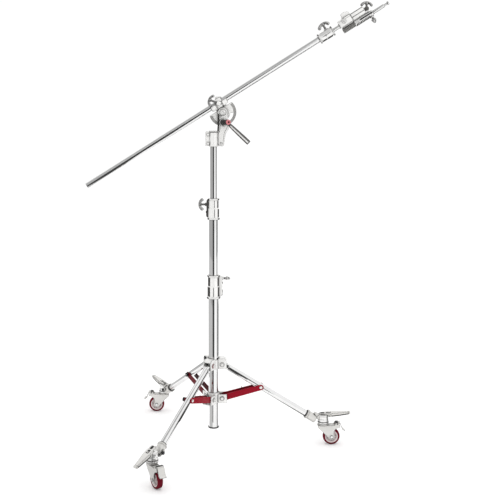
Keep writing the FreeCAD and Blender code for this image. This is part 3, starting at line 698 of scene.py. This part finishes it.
def rings():
    hub = Piece("leg_hub")
    hub.lathe([(22.65, 358), (26.4, 358), (26.4, 400), (22.65, 400)], around=80, rounding=1.5)
    collar = Piece("brace_collar")
    collar.lathe([(22.3, 200), (26.4, 200), (26.4, 247), (22.3, 247)], around=80, rounding=1.5)
    for azimuth in AZIMUTHS.values():
        lug(hub, spin(azimuth), HUB_HALF, 14.9, 358, 405, 58, roof=True)
        lug(collar, spin(azimuth), COLLAR_HALF, 18.5, 200, 240, 60, roof=False)
    hub.done()
    collar.done()
    for node, height, half in (("hub_pivot_bolts", HUB_PIVOT, HUB_HALF),
                               ("collar_pivot_bolts", COLLAR_PIVOT, COLLAR_HALF)):
        bolts = Piece(node, slot="cast_alloy")
        for azimuth in AZIMUTHS.values():
            bolts.bolt(spin(azimuth) @ shift(PIVOTS_OUT, 0, height), 4, (-half - 4, half + 4), 13,
                       half, 5.5, 6.5)
        bolts.done()
    stop = Piece("leg_hub", azimuth_frame("rear"), "hub_rear_stop", "black_hardware")
    stop.block((29, 46), (17, 24), (388, 404.5), rounding=2, rim=0.8).done()
    across = azimuth_frame("front") @ shift(PIVOTS_OUT, 0, HUB_PIVOT)
    washers = Piece("hub_pivot_bolts", name="hub_front_washers", slot="red_paint")
    for sign in (-1, 1):
        washers.lathe([(4, 0), (8.8, 0), (8.8, 2.4), (4, 2.4)],
                      across @ aim((0, sign * 19.9, 0), Y * sign), rounding=0.5, around=36)
    washers.done()


def leg(side):
    made = Piece("leg_tube_" + side, leg_frame(side))
    made.lathe([(0, 21.5), (14.3, 21.5), (14.3, 494), (12.3, 494), (12.3, 44), (0, 44)], ALONG_X,
               around=64, rounding=0.8)
    tongue = arc(11, 90, 270, 20) + [(20, -11), (34, -11.8), (34, 11.8), (20, 11)]
    made.slab(tongue, -13.9, 13.9, holes=[ring(4.35)], rim=1.2)
    made.done()


def foot(side):
    node = "foot_socket_" + side
    frame = azimuth_frame(side)
    socket = leg_frame(side) @ shift(446) @ ALONG_X
    made = Piece(node, frame, finish=FOOT_CAST)
    inward = frame.inverted() @ socket
    made.lathe([(14.35, 0), (18, 0), (21, 1.2), (21, 7), (18.5, 9), (18.5, 47), (17, 50), (14.35, 50)],
               inward, around=64, rounding=1.0)
    # The clamp ear's two leaves.
    for near, far in ((15.5, 19.4), (20.6, 24.5)):
        made.slab(soften([(438, 128), (459, 116), (463, 124), (444, 137)], 3), near, far, rim=0.8)
    # The web from the sleeve to the barrel, thicker at its heart.
    web = soften([(452, 147), (466, 124), (474, 111), (CASTER_STEM, 108), (CASTER_STEM, 140),
                  (478, 140), (464, 146), (460, 150)], 3)
    made.slab(web, -12, 12, rim=3)
    made.slab(soften([(464, 129), (476, 116), (492, 114), (492, 134), (470, 138)], 3), -13.4, 13.4,
              rim=1.4)
    for near, far in ((-9, -5.2), (5.2, 9)):
        ear = arc(6.5, -90, 90, 12, PEDAL_PIN) + [(512, 144.5), (512, 131.5)]
        made.slab(ear, near, far, holes=[ring(3.35, PEDAL_PIN)], rim=0.6)
    made.done()
    barrel = Piece(node, frame, "socket_barrel_" + side, finish=MATERIALS["turned_alloy"])
    barrel.lathe([(6.4, 108), (22.5, 108), (24, 110), (24, 120), (23, 121.5), (23, 133), (24, 134.5),
                  (24, 139), (22, 141), (10, 141), (9, 139.5), (6.4, 139.5)], shift(CASTER_STEM),
                 rounding=1.0)
    barrel.lathe([(6.4, 99), (23, 99), (25.5, 100.5), (25.5, 105.5), (23, 108), (6.4, 108)],
                 shift(CASTER_STEM), rounding=1.0)
    barrel.done()
    Piece(node, socket, "socket_seal_" + side, "black_hardware").lathe(
        [(14.35, -4.5), (15.6, -4.5), (17, -3), (17, 0), (14.35, 0)], around=64, rounding=0.5).done()
    race = Piece(node, frame, "race_ring_" + side, finish=DARK_ALLOY)
    race.lathe([(7, 106.4), (24.9, 106.4), (24.9, 108.6), (7, 108.6)], shift(CASTER_STEM), rounding=0.4)
    race.lathe([(7, 99), (24.4, 99), (24.4, 100.8), (7, 100.8)], shift(CASTER_STEM), rounding=0.4)
    race.done()
    screw = Piece("foot_clamp_screw_" + side, frame)
    seat = shift(455.6, 24.7, 126.4)
    screw.lathe([(0, 0), (7.5, 0), (7.5, 1.3), (0, 1.3)], seat @ ALONG_Y, rounding=0.3)
    screw.hexagon(12.5, 6.2, seat @ shift(0, 0.6) @ ALONG_Y)
    screw.done()


def pedal(side):
    """Pressed channel that narrows towards a rolled toe, rocking on a cross pin."""
    node = "foot_pedal_" + side
    frame = azimuth_frame(side) @ spot(PEDAL_PIN) @ tilt_y(PEDAL_LEANS[side])
    made = Piece(node, frame, finish=FOOT_CAST)
    wall = 2.3

    def channel(x, half, low, high):
        outer = [(-half, low), (-half, high - 2), (-half + 2, high), (half - 2, high),
                 (half, high - 2), (half, low)]
        inner = [(half - wall, low), (half - wall, high - wall - 0.5), (half - wall - 1, high - wall),
                 (-half + wall + 1, high - wall), (-half + wall, high - wall - 0.5),
                 (-half + wall, low)]
        return [(x, y, z) for y, z in outer + inner]

    stations = [(-49, 11, 8, 11), (-40, 13.5, 7.2, 11), (-22, 15.5, 5.4, 11), (-13.5, 15.9, 5, 11),
                (-7, 16, -4, 11), (8, 15.5, -4, 11), (40, 12.4, -3.5, 10.4), (70, 9.6, -2, 9.6),
                (82, 8.4, -1, 9.2)]
    made.loft([channel(*station) for station in stations])
    edging = Piece(node, frame, "pedal_edges_" + side, finish=BLACK_ALLOY_PAINTED_SHADE_AND_REFLECTION)
    for sign in (-1, 1):
        edging.loft([[(x, sign * (half + dy), low + dz) for dy, dz in
                      ((-wall - 0.2, -0.3), (0.3, -0.3), (0.3, 4.6), (-wall - 0.2, 4.6))]
                     for x, half, low, high in stations[4:]])
    edging.done()
    # Black patches stand for the pedal's slot: painted shade for its dark inside.
    slot = Piece(node, frame, "pedal_slot_" + side, "black_hardware")
    slot.block((-20, 3), (-6, 6), (9.4, 11.3), rounding=0.5, rim=0.3)
    slot.slab(soften([(-46, 9.6), (-26, 9.6), (-26, 12), (-36, 13.2), (-46, 12)], 0.8), -5, 5, rim=0.5)
    slot.done()
    made.lathe([(0, 10.6), (4.6, 10.6), (4, 12.6), (0, 13.2)], shift(-4), rounding=0.8, around=24)
    made.rod(6.2, -8.5, 8.5, shift(84, 0, 4) @ ALONG_Y, rounding=1.5)
    made.rod(3, -15.5, 15.5, ALONG_Y, around=24)
    made.lathe([(0, -18), (4.6, -18), (5, -17), (0, -16.9)], ALONG_Y, rounding=0.3)
    made.lathe([(0, 16.9), (5, 17), (4.6, 18), (0, 18)], ALONG_Y, rounding=0.3)
    made.done()


def caster(side):
    frame = caster_frame(side)
    axle = spot(AXLE)
    fork = Piece("caster_fork_" + side, frame, finish=FOOT_CAST)
    cheek = soften([(471, 92), (546, 92), (550, 104), (565, 104), (570, 92), (571, 83), (556, 79),
                    (546, 70), (542, 56), (547, 42), (547, 34), (540, 25), (526, 25), (519, 32),
                    (492, 62), (471, 82)], 5, 4)
    holes = [ring(4.0, AXLE, 24), ring(2.85, BRAKE_PIN, 20)]
    for near, far in ((-17, -14.5), (14.5, 17)):
        fork.slab(cheek, near, far, holes=holes, rim=0.7)
    fork.block((471, 547), (-15.5, 15.5), (88.5, 92), rounding=1, rim=0.5)
    fork.lathe([(0, 91), (21, 91), (23.5, 93), (24, 95), (22.5, 98.2), (0, 98.6)],
               shift(CASTER_STEM), rounding=0.8)
    fork.rod(6, 92, 129, shift(CASTER_STEM))
    fork.done()
    Piece("caster_axle_" + side, frame).bolt(axle, 4, (-20, 21.5), 13, 17, 5, 5).done()
    core = Piece("wheel_core_" + side, frame @ axle @ ALONG_Y)
    core.lathe([(4.35, -13.8), (10, -13.8), (11.2, -11), (12, -5), (22, -4), (24.5, -10.6), (29, -11),
                (29, 11), (24.5, 10.6), (22, 4), (12, 5), (11.2, 11), (10, 13.8), (4.35, 13.8)],
               around=72, rounding=1.2)
    for spoke in range(5):
        for sign in (-1, 1):
            near, far = sorted((sign * 3.5, sign * 8.5))
            core.block((11, 23.5), (-1.4, 1.4), (near, far), spin(72 * spoke), rim=0.5)
    core.done()
    Piece("wheel_tyre_" + side, frame @ axle @ ALONG_Y).lathe(
        [(29, -11), (31, -12.3), (33.5, -12.5), (36.6, -10.2), (37.8, -6), (38, 0), (37.8, 6),
        (36.6, 10.2), (33.5, 12.5), (31, 12.3), (29, 11)], around=96, rounding=1.2).done()
    seat = frame @ spot(BRAKE_PIN)
    block = Piece("brake_tab_" + side, seat)
    block.slab(soften([(-4.5, -4), (4.5, -4.5), (5.5, 4), (3, 6), (-4, 5.4)], 1.5), -13.4, 13.4, rim=1)
    block.rod(2.5, -17, 17, ALONG_Y, around=20)
    block.done()
    Piece("brake_tab_" + side, seat, name="brake_blade_" + side, finish=FOOT_CAST).slab(
        soften([(3, 1.4), (12, 0.4), (23, -27), (35.6, -34.5), (36.8, -32.4), (25.4, -25.4),
        (14, 3.4), (3, 4)], 2.5), -15, 15, rim=0.7).done()


def brace(side):
    # The rear brace takes the darker red, painted shade.
    made = Piece("brace_" + side, brace_frame(side), finish=RED_WITH_PAINTED_SHADE if side == "rear" else None)
    far_end = (BRACE_LENGTH, 0)
    root = [(90, 13.3), (12, 14)] + arc(11, 90, 270, 18) + [(12, -14), (90, -13.3)]
    bar = arc(12.5, -90, 90, 18, far_end) + root
    slim = arc(8, -90, 90, 18, far_end) + [(150, 13)] + root + [(150, -13)]
    for outline, near, far in ((slim if side == "front" else bar, -17.9, -14.9), (bar, 14.9, 17.9)):
        made.slab(outline, near, far, holes=[ring(4.35), ring(4.35, far_end)], rim=0.7)
    made.block((82, 98), (-15.5, 15.5), (3, 6), rounding=1, rim=0.5)
    made.block((94.5, 98), (2, 15.5), (3, 19), rounding=1, rim=0.8)
    made.done()
    studs = Piece("brace_bolts_" + side, brace_frame(side), slot="cast_alloy")
    nuts = Piece("brace_bolts_" + side, brace_frame(side), "brace_nut_" + side, "black_hardware")
    for sign in (-1, 1):
        seat = aim((BRACE_LENGTH, sign * 15, 0), Y * sign)
        if sign == NUT_SIDES[side]:
            nuts.hexagon(17, 9.6, seat @ shift(0, 0, 3))
            studs.rod(4, 0, 13, seat, around=24)
        else:
            studs.lathe([(0, 0), (4, 0), (4, 2.8), (7, 3), (7, 4), (6, 5.8), (3.5, 6.4), (0, 6.5)],
                        seat, rounding=0.8, around=40)
    studs.done()
    nuts.done()


# -------- boom head
def pivot_bracket():
    made = Piece("pivot_bracket")
    arm = ([(16, 1343), (40, 1341), (45, 1346), (53, 1399), (64, 1414), (66, 1424), (62, 1450)]
           + arc(20.4, -5, 185, 24, BOOM_PIVOT) + [(19.5, 1450), (21, 1408), (16, 1404)])
    made.slab(soften(arm, 3), -5, 5, holes=[ring(6.2, BOOM_PIVOT), ring(3.9, LEVER_PIVOT)], rim=1.2)
    made.slab(soften([(20, 1348), (38, 1347), (46, 1402), (58, 1422), (58, 1436), (30, 1436),
                      (26, 1404), (20, 1398)], 4), -6.6, -4, rim=1.0)
    made.lathe([(15.4, 1341), (19, 1341), (19, 1347), (18.2, 1349), (18.2, 1400), (19, 1402),
                (19, 1408), (15.4, 1408)], around=72, rounding=0.9)
    for near, far in ((-9, -1.1), (1.1, 9)):
        made.slab(soften([(-35, 1344), (-15, 1344), (-15, 1405), (-35, 1405)], 3.5), near, far,
                  holes=[ring(3.6, place) for place in PINCH_BOLTS], rim=1.2)
    # A black strip along the arm's edge and a black ring below it: painted shade, the dark line along
    # that edge.
    edge = Piece("pivot_bracket", name="arm_edge_painted_shade", finish=BLACK_ALLOY_PAINTED_SHADE_AND_REFLECTION)
    edge.slab(soften([(15.4, 1407), (21.6, 1407), (24.4, 1450), (23.4, 1479), (18.2, 1479),
                      (18.2, 1450)], 1), -7.4, 5.4, rim=0.4)
    edge.lathe([(18.6, 1401), (19.35, 1401), (19.35, 1404.6), (18.6, 1404.6)], around=72, rounding=0.2)
    edge.done()
    boss = spot(LEVER_PIVOT) @ TOWARD
    made.lathe([(3.9, 4), (17, 4), (17, 7.8), (15.6, 9), (3.9, 9)], boss, rounding=0.8)
    pivot = spot(BOOM_PIVOT) @ TOWARD
    made.lathe([(6.2, 4), (14.4, 4), (13, 8), (12, 9), (6.2, 9)], pivot, rounding=0.8)
    for centre in ((31, 1356), (28, 1470)):
        screw = spot(centre) @ TOWARD
        made.lathe([(0, 4), (4, 4), (4, 7.5), (3, 8.2), (1.5, 8.2), (1.4, 7), (0, 7)], screw,
                   rounding=0.3, around=28)
    made.done()
    bolts = Piece("bracket_bolts", slot="cast_alloy")
    for place in PINCH_BOLTS:
        bolts.bolt(spot(place), 3.5, (-12, 15), 11, 9, 5, 5.5)
    across = spot(BOOM_PIVOT)
    bolts.rod(6, -10, 18, across @ ALONG_Y, around=32)
    bolts.lathe([(0, 9), (10.5, 9), (10.5, 12), (8.6, 14), (4.2, 14), (3.8, 13), (0, 13)],
                across @ TOWARD, rounding=0.7, around=48)
    bolts.hexagon(17, 6, across @ shift(0, 12) @ ALONG_Y)
    bolts.done()


def quadrant():
    made = Piece("tilt_quadrant", boom_frame())
    radius, chord = 58, 17
    edge = degrees(asin(chord / radius))
    outline = (arc(radius, 180 - edge, 360 + edge, 70)
               + [(30, chord), (30, 25.6), (0, 22), (-20, 22), (-20, chord)])
    slot = arc(46, -150, -35, 40) + arc(33, -35, -150, 40)
    made.slab(outline, 6.2, 11, holes=[slot, ring(6.35)], rim=0.7)
    made.done()
    made = Piece("tilt_quadrant", boom_frame(), "quadrant_rim", finish=DULL_RIM)
    teeth, span = 74, 180 + 2 * edge - 6
    sections = []
    for index in range(2 * teeth + 1):
        angle = radians(180 - edge + 3 + span * index / (2 * teeth))
        front = 5.5 if index % 2 else 6.05
        sections.append([(r * cos(angle), y, r * sin(angle))
                         for r, y in ((45.8, 6.6), (45.8, front), (57.8, front), (57.8, 6.6))])
    made.loft(sections)
    made.done()


def sleeve():
    """Saddle of three ribs under the boom, with a strap and pinch screw above."""
    made = Piece("boom_sleeve", boom_frame())
    half = soften([(13.15, -35), (19.6, -35), (19.6, 42), (13.15, 42)], 1)
    made.sector(half, -90, 90, BOOM_LINE)
    for start in (-33, -7, 19):
        rib = soften([(13.2, start), (21.4, start), (22, start + 2.5), (22, start + 19),
                      (21.4, start + 21.5), (13.2, start + 21.5)], 1.4)
        made.sector(rib, -90, 90, BOOM_LINE)
    strap = soften([(13.15, -6), (19.4, -6), (20.2, -3), (20.2, 19), (19.4, 22), (13.15, 22)], 1.4)
    made.sector(strap, 86, 274, BOOM_LINE)
    made.slab(soften([(-3, 56), (6, 73), (30, 60), (21, 52)], 4), -8, 8, rim=1.6)
    lean = radians(SLEEVE_SCREW_LEAN)
    up = Vector((-sin(lean), 0, cos(lean)))
    foot_point = Vector((6, -27, 40))
    made.lathe([(0, -8), (7, -8), (8, -6.5), (8, 9), (7.4, 10), (4.85, 10), (4.85, -1), (0, -1)],
               aim(foot_point, up), rounding=0.8)
    made.block((-5, 14), (-26, -12), (32, 46), rounding=3, rim=1.5)
    made.done()


def lever():
    made = Piece("tilt_lever")
    hub = spot(LEVER_PIVOT) @ TOWARD
    crank = Vector((20, -37, 1.2))
    start = Vector((LEVER_PIVOT[0], -15, LEVER_PIVOT[1]))
    made.lathe([(0, 9.4), (15.5, 9.4), (15.5, 12.4), (14, 15), (0, 15)], hub, rounding=1.0)
    made.rod(3.5, -17, -10, hub, around=24)
    made.rod(3.5, -10, 10, hub, around=24)
    made.hexagon(17, 6, spot(LEVER_PIVOT, 11.6) @ ALONG_Y)
    barrel = Piece("tilt_lever", aim(start, crank), "lever_barrel", "black_hardware")
    ringed = [(0, -1), (11, -1)]
    for groove in range(5):
        low = 7 * groove
        ringed += [(11.5, low), (11.5, low + 5), (10.2, low + 5.6), (10.2, low + 6.6)]
    barrel.lathe(ringed + [(11.5, 35), (11.5, crank.length - 1.5), (10.8, crank.length),
                           (0, crank.length)], rounding=0.5)
    barrel.done()
    root = start + crank * 0.72
    tip = Vector((147, -46, 1360))
    along = tip - root
    frame = aim(root, along)
    side = frame.to_3x3().inverted() @ Y
    turn = atan2(side.y, side.x)
    sections = []
    for t, wide, deep in ((0.0, 7.0, 5.0), (0.12, 7.6, 5.0), (0.3, 8.6, 5.0), (0.55, 9.6, 5.2),
                          (0.78, 10.2, 5.4), (0.98, 10.4, 5.4), (1.02, 10.0, 5.0), (1.03, 8.8, 4.0)):
        loop = []
        for step in range(28):
            a = 2 * pi * step / 28
            x, y = deep * cos(a), wide * sin(a)
            loop.append((x * cos(turn) - y * sin(turn), x * sin(turn) + y * cos(turn),
                         t * along.length))
        sections.append(loop)
    made.done()
    Piece("tilt_lever", frame, "lever_grip", finish=DARK_ALLOY).loft(sections).done()
    face = Piece("tilt_lever", frame @ spin(degrees(turn)), "lever_grip_face", "cast_alloy")
    for sign in (-1, 1):
        strip = [[(sign * x, y - 1.2, t * along.length)
                  for x, y in ((4, -w), (5.7, -w), (5.7, w), (4, w))]
                 for t, w in ((0.16, 1.6), (0.2, 2.8), (0.6, 3.2), (1.0, 3.6))]
        face.loft(strip)
    face.done()
    seat = aim(start + crank, crank)
    Piece("lever_cap", seat).lathe(
        [(0, 0), (10.8, 0), (10.8, 2.2), (9.4, 4.2), (6, 5), (4.4, 5), (4.4, 3.6), (0, 3.6)],
        rounding=0.6).done()
    Piece("lever_cap", seat, "lever_cap_centre", finish=MAROON).lathe(
        [(0, 3.6), (4.4, 3.6), (4.2, 4.9), (0, 5.2)], rounding=0.4).done()


# -------- boom
def boom():
    Piece("boom_tube", boom_frame()).lathe(
        [(11.1, -663), (12.7, -663), (12.7, 556), (11.1, 556)], BOOM_LINE, around=80,
        rounding=0.6).done()
    collar = Piece("boom_end_collar", boom_frame())
    collar.lathe([(12.75, 502), (21.7, 502), (21.7, 507), (20, 508.5), (19.5, 511), (19.5, 532),
                  (20.2, 534), (20.2, 560), (19.5, 562), (20, 564.5), (21.7, 565.5), (21.7, 570),
                  (8.35, 570), (8.35, 556.5), (12.75, 556.5)], BOOM_LINE, around=72, rounding=1.1)
    collar.lathe([(4.85, 17), (9, 17), (9, 21.4), (8, 23), (4.85, 23)],
                 shift(BOOM_HANDLE, 0, BOOM_AXIS), rounding=0.6, around=40)
    collar.done()
    # Thin black bands round the end collar: a painted dark reflection.
    painted_reflection_bands = Piece("boom_end_collar", boom_frame(), "boom_collar_bands", finish=BLACK_ALLOY_PAINTED_SHADE_AND_REFLECTION)
    for radius, low, high in ((19.5, 511, 532), (20.2, 535, 559), (21.7, 502.6, 506.6),
                              (21.7, 565.8, 569.6)):
        painted_reflection_bands.sector(band(radius, low, high), -44, -4, BOOM_LINE, steps=12)
        if radius > 21:
            painted_reflection_bands.sector(band(radius, low, high), -160, -128, BOOM_LINE, steps=12)
    painted_reflection_bands.done()
    Piece("extension_rod", boom_frame()).lathe(
        [(0, 380), (7.2, 380), (7.95, 381), (7.95, 638), (6.95, 640), (0, 640)], BOOM_LINE,
        rounding=0.3).done()


def end_head():
    block = Piece("boom_end_block", boom_frame(), slot="cast_alloy")
    block.block((603, 661), (-13, 13), (33.5, 64.5), rounding=4, rim=1.8)
    block.slab(soften([(661, 31), (738, 33), (743, 44), (738, 55), (723, 56), (723, 64), (661, 64)],
                      4), -11, 11, rim=1.8)
    for heights in ((47.6, 61), (34, 46)):
        block.block((664, 722), (-11.7, 11.7), heights, rounding=3, rim=0.7)
    block.slab(soften([(625, 62), (629, 82), (636, 85), (648, 85), (652, 81), (660, 81), (664, 74),
                       (664, 62)], 3), -4, 4, rim=1.2)
    block.block((612, 661), (-9, 9), (29, 36), rim=1)
    block.block((665, 717), (-9, 9), (29.5, 33), rim=1)
    block.lathe([(0, 12), (9, 12), (9, 14), (8, 15), (4, 15), (4, 17), (0, 17)],
                shift(627, 0, 53) @ TOWARD, rounding=0.5)
    knuckle = Piece("boom_end_block", boom_frame(), "end_knuckle", finish=DARK_ALLOY)
    knuckle.lathe([(0, -11.6), (9, -11.6), (9.4, -10), (9.4, 10), (9, 11.6), (0, 11.6)],
                  shift(734, 0, 46) @ ALONG_Y, rounding=0.6)
    knuckle.block((723, 741), (-11.4, 11.4), (38, 54), rounding=3)
    for low_edge, high_edge, start in ((46, 47.6, 664), (61, 63, 664), (57.4, 58.6, 606)):
        knuckle.slab([(start, low_edge), (start + 57, low_edge), (start + 57, high_edge),
                      (start, high_edge)], -12.2 if start > 620 else -13.3, -10.5, rim=0.3)
    knuckle.done()
    block.lathe([(8.35, 601.5), (10.6, 601.5), (11, 603.6), (8.35, 603.6)], BOOM_LINE, rounding=0.4)
    block.done()
    receiver = Piece("pin_receiver", boom_frame())
    ridged = [(8, 607)]
    for rib in range(9):
        start = 607 + 6 * rib
        ridged += [(11.9, start), (11.9, start + 3), (10.6, start + 3.6), (10.6, start + 5.4)]
    Piece("pin_receiver", boom_frame(), "receiver_tail", finish=MID_ALLOY).lathe(
        ridged + [(10.6, 662), (8, 662)], RECEIVER_LINE, around=64, rounding=0.5).done()
    front = [(8.35, 661), (13, 661), (13.4, 662.5), (13.4, 736), (12.6, 738), (13.2, 740), (13.2, 746.5),
             (12.4, 748), (8.35, 748)]
    receiver.lathe(front, RECEIVER_LINE, around=64, rounding=0.8)
    ribs = Piece("pin_receiver", boom_frame(), "receiver_ribs", finish=BLACK_ALLOY_PAINTED_SHADE_AND_REFLECTION)
    for rib in range(10):
        start = 666 + 6.6 * rib
        ridge = soften([(12.6, start), (14.0, start), (14.0, start + 4.6), (12.6, start + 4.6)], 0.6)
        ribs.sector(ridge, -75, 75, RECEIVER_LINE, steps=14)
    ribs.done()
    # A black strip stands for the slot: painted shade for its dark inside.
    Piece("pin_receiver", boom_frame(), "receiver_slot_painted_shade", "black_hardware").block(
        (686, 746), (-14.8, -12.0), (18.6, 24), rounding=1.6, rim=0.4).done()
    receiver.lathe([(4.85, -10), (9, -10), (9, -15.6), (8, -17), (4.85, -17)],
                   shift(RECEIVER_HANDLE, 0, RECEIVER_AXIS), rounding=0.6, around=40)
    receiver.done()
    Piece("baby_pin", boom_frame()).lathe(
        [(0, 696), (7.5, 696), (7.5, 750), (7.95, 750.4), (7.95, 801.5), (7.2, 803), (5, 804),
        (5, 818), (7.95, 819), (7.95, 824), (7.2, 825), (0, 825)], RECEIVER_LINE, rounding=0.4).done()


# -------- build
stage()
for name, cad_object in NODES.items():
    cad_object.data.materials.clear()
    cad_object.data.materials.append(MATERIALS[SLOT_OF[name]])

handles()
column()
rings()
for side_name in AZIMUTHS:
    leg(side_name)
    foot(side_name)
    pedal(side_name)
    caster(side_name)
    brace(side_name)
pivot_bracket()
quadrant()
sleeve()
lever()
boom()
end_head()
